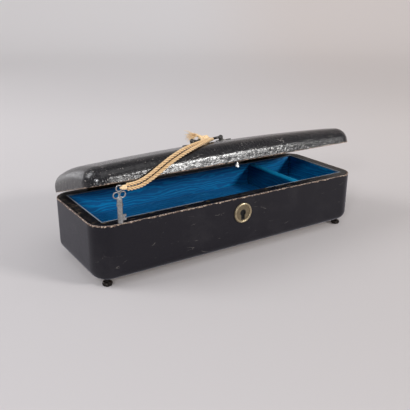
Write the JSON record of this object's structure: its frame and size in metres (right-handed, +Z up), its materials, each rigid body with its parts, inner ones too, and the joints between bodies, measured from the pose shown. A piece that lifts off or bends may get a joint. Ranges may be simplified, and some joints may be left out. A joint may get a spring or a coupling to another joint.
{
  "type": "musical jewelry box",
  "caption": "Long leather-covered jewelry box with a crowned hinged lid, silk compartments, a corded key and a musical movement.",
  "frame": {"origin": "under the middle of the case, level with the lower ends of the feet", "axes": "+X along the box towards the small compartment, -Y towards the lock, +Y towards the hinges, +Z up"},
  "size_m": [0.28, 0.1067, 0.1055],
  "materials": {
    "black_leather": "black grained leather, worn brown at the edges",
    "lid_leather": "black glossy grained leather, scuffed",
    "dark_facing": "dark facing",
    "case_wood": "plain limewood",
    "blue_silk": "blue watered silk",
    "pale_piping": "pale silvery piping",
    "foot_bronze": "dark patinated bronze",
    "old_brass": "aged brass",
    "bright_brass": "clean brass",
    "dark_handle_metal": "dark browned metal",
    "steel": "plain steel",
    "blued_steel": "blued spring steel",
    "silvered_key": "silvered, a little tarnished",
    "gold_cord": "twisted gold thread"
  },
  "bodies": {
    "case": {"case_carcass": "case_wood", "case_leather": "black_leather", "rim_facing": "dark_facing", "base_board": "case_wood", "base_screws": "steel", "foot_front_left": "foot_bronze", "foot_rear_left": "foot_bronze", "foot_front_right": "foot_bronze", "foot_rear_right": "foot_bronze", "lining_front": "blue_silk", "lining_rear": "blue_silk", "lining_ends": "blue_silk", "lining_piping": "pale_piping", "partition": "blue_silk", "raised_floor": "case_wood", "floor_battens": "case_wood", "floor_pad": "blue_silk", "small_floor_pad": "blue_silk", "lock_case": "steel", "lock_cap": "steel", "lock_selvage": "old_brass", "case_screws": "old_brass", "escutcheon": "old_brass", "hinge_case_leaf_left": "old_brass", "hinge_case_leaf_right": "old_brass", "hinge_pins": "steel", "movement_bedplate": "bright_brass", "click_pin": "steel", "barrel_bridge": "bright_brass", "comb": "steel", "movement_screws": "blued_steel"},
    "lid": {"lid_board": "case_wood", "lid_leather": "lid_leather", "lid_facing": "dark_facing", "lid_lining": "blue_silk", "lid_pad": "blue_silk", "staple": "old_brass", "lid_screws": "old_brass", "hinge_lid_leaf_left": "old_brass", "hinge_lid_leaf_right": "old_brass", "handle_post_left": "dark_handle_metal", "handle_post_right": "dark_handle_metal", "cord_strand_lower": "gold_cord", "cord_strand_upper": "gold_cord"},
    "handle": {"handle_bail": "dark_handle_metal", "cord_knot": "gold_cord"},
    "hanging_key": {"key": "silvered_key", "key_tie": "gold_cord"},
    "bolt": {"lock_bolt": "steel"},
    "winding": {"winding_arbor": "steel", "ratchet_wheel": "steel", "winding_key": "bright_brass"},
    "click_body": {"click": "blued_steel"},
    "barrel_body": {"barrel": "bright_brass", "mainspring": "blued_steel"},
    "cylinder": {"pinned_cylinder": "bright_brass", "cylinder_arbor": "steel"},
    "governor": {"governor_wheel": "steel"},
    "fan_body": {"fan": "steel"},
    "stop": {"stop_slide": "bright_brass"}
  },
  "joints": [
    {"name": "lid_hinge", "type": "hinge", "parent": "case", "child": "lid", "pos_m": [0, 0.0502, 0.0552], "axis": [-1, 0, 0], "range_deg": [-18.5, 75.5]},
    {"name": "handle_turn", "type": "hinge", "parent": "lid", "child": "handle", "pos_m": [0, 0.01069, 0.09531], "axis": [1, 0, 0], "range_deg": [0, 90]},
    {"name": "key_hang", "type": "hinge", "parent": "lid", "child": "hanging_key", "pos_m": [-0.1198, -0.05244, 0.08533], "axis": [-1, 0, 0], "range_deg": [-75.5, 18.5]},
    {"name": "bolt_slide", "type": "slide", "parent": "case", "child": "bolt", "axis": [-1, 0, 0], "range_m": [0, 0.0035]},
    {"name": "winding_turn", "type": "hinge", "parent": "case", "child": "winding", "pos_m": [-0.062, 0, 0.01], "axis": [0, 0, 1], "continuous": true},
    {"name": "click_rock", "type": "hinge", "parent": "case", "child": "click_body", "pos_m": [-0.07, -0.0086, 0.016], "axis": [0, 0, -1], "range_deg": [0, 12], "stiffness_Nm_per_rad": 0.002, "springref_deg": -5.73},
    {"name": "barrel_turn", "type": "hinge", "parent": "case", "child": "barrel_body", "pos_m": [-0.062, 0, 0.022], "axis": [0, 0, 1], "continuous": true},
    {"name": "cylinder_turn", "type": "hinge", "parent": "case", "child": "cylinder", "pos_m": [-0.03, 0, 0.02228], "axis": [1, 0, 0], "continuous": true},
    {"name": "governor_turn", "type": "hinge", "parent": "case", "child": "governor", "pos_m": [-0.0065, 0.0071, 0.02228], "axis": [1, 0, 0], "continuous": true},
    {"name": "fan_turn", "type": "hinge", "parent": "case", "child": "fan_body", "pos_m": [-0.004, 0.0142, 0.02228], "axis": [1, 0, 0], "continuous": true},
    {"name": "stop_move", "type": "slide", "parent": "case", "child": "stop", "axis": [0, -1, 0], "range_m": [0, 0.003]}
  ],
  "couplings": [
    {"joint": "key_hang", "follows": "lid_hinge", "ratio": -1},
    {"joint": "cylinder_turn", "follows": "barrel_turn", "ratio": -3},
    {"joint": "governor_turn", "follows": "barrel_turn", "ratio": 12},
    {"joint": "fan_turn", "follows": "barrel_turn", "ratio": -48}
  ]
}
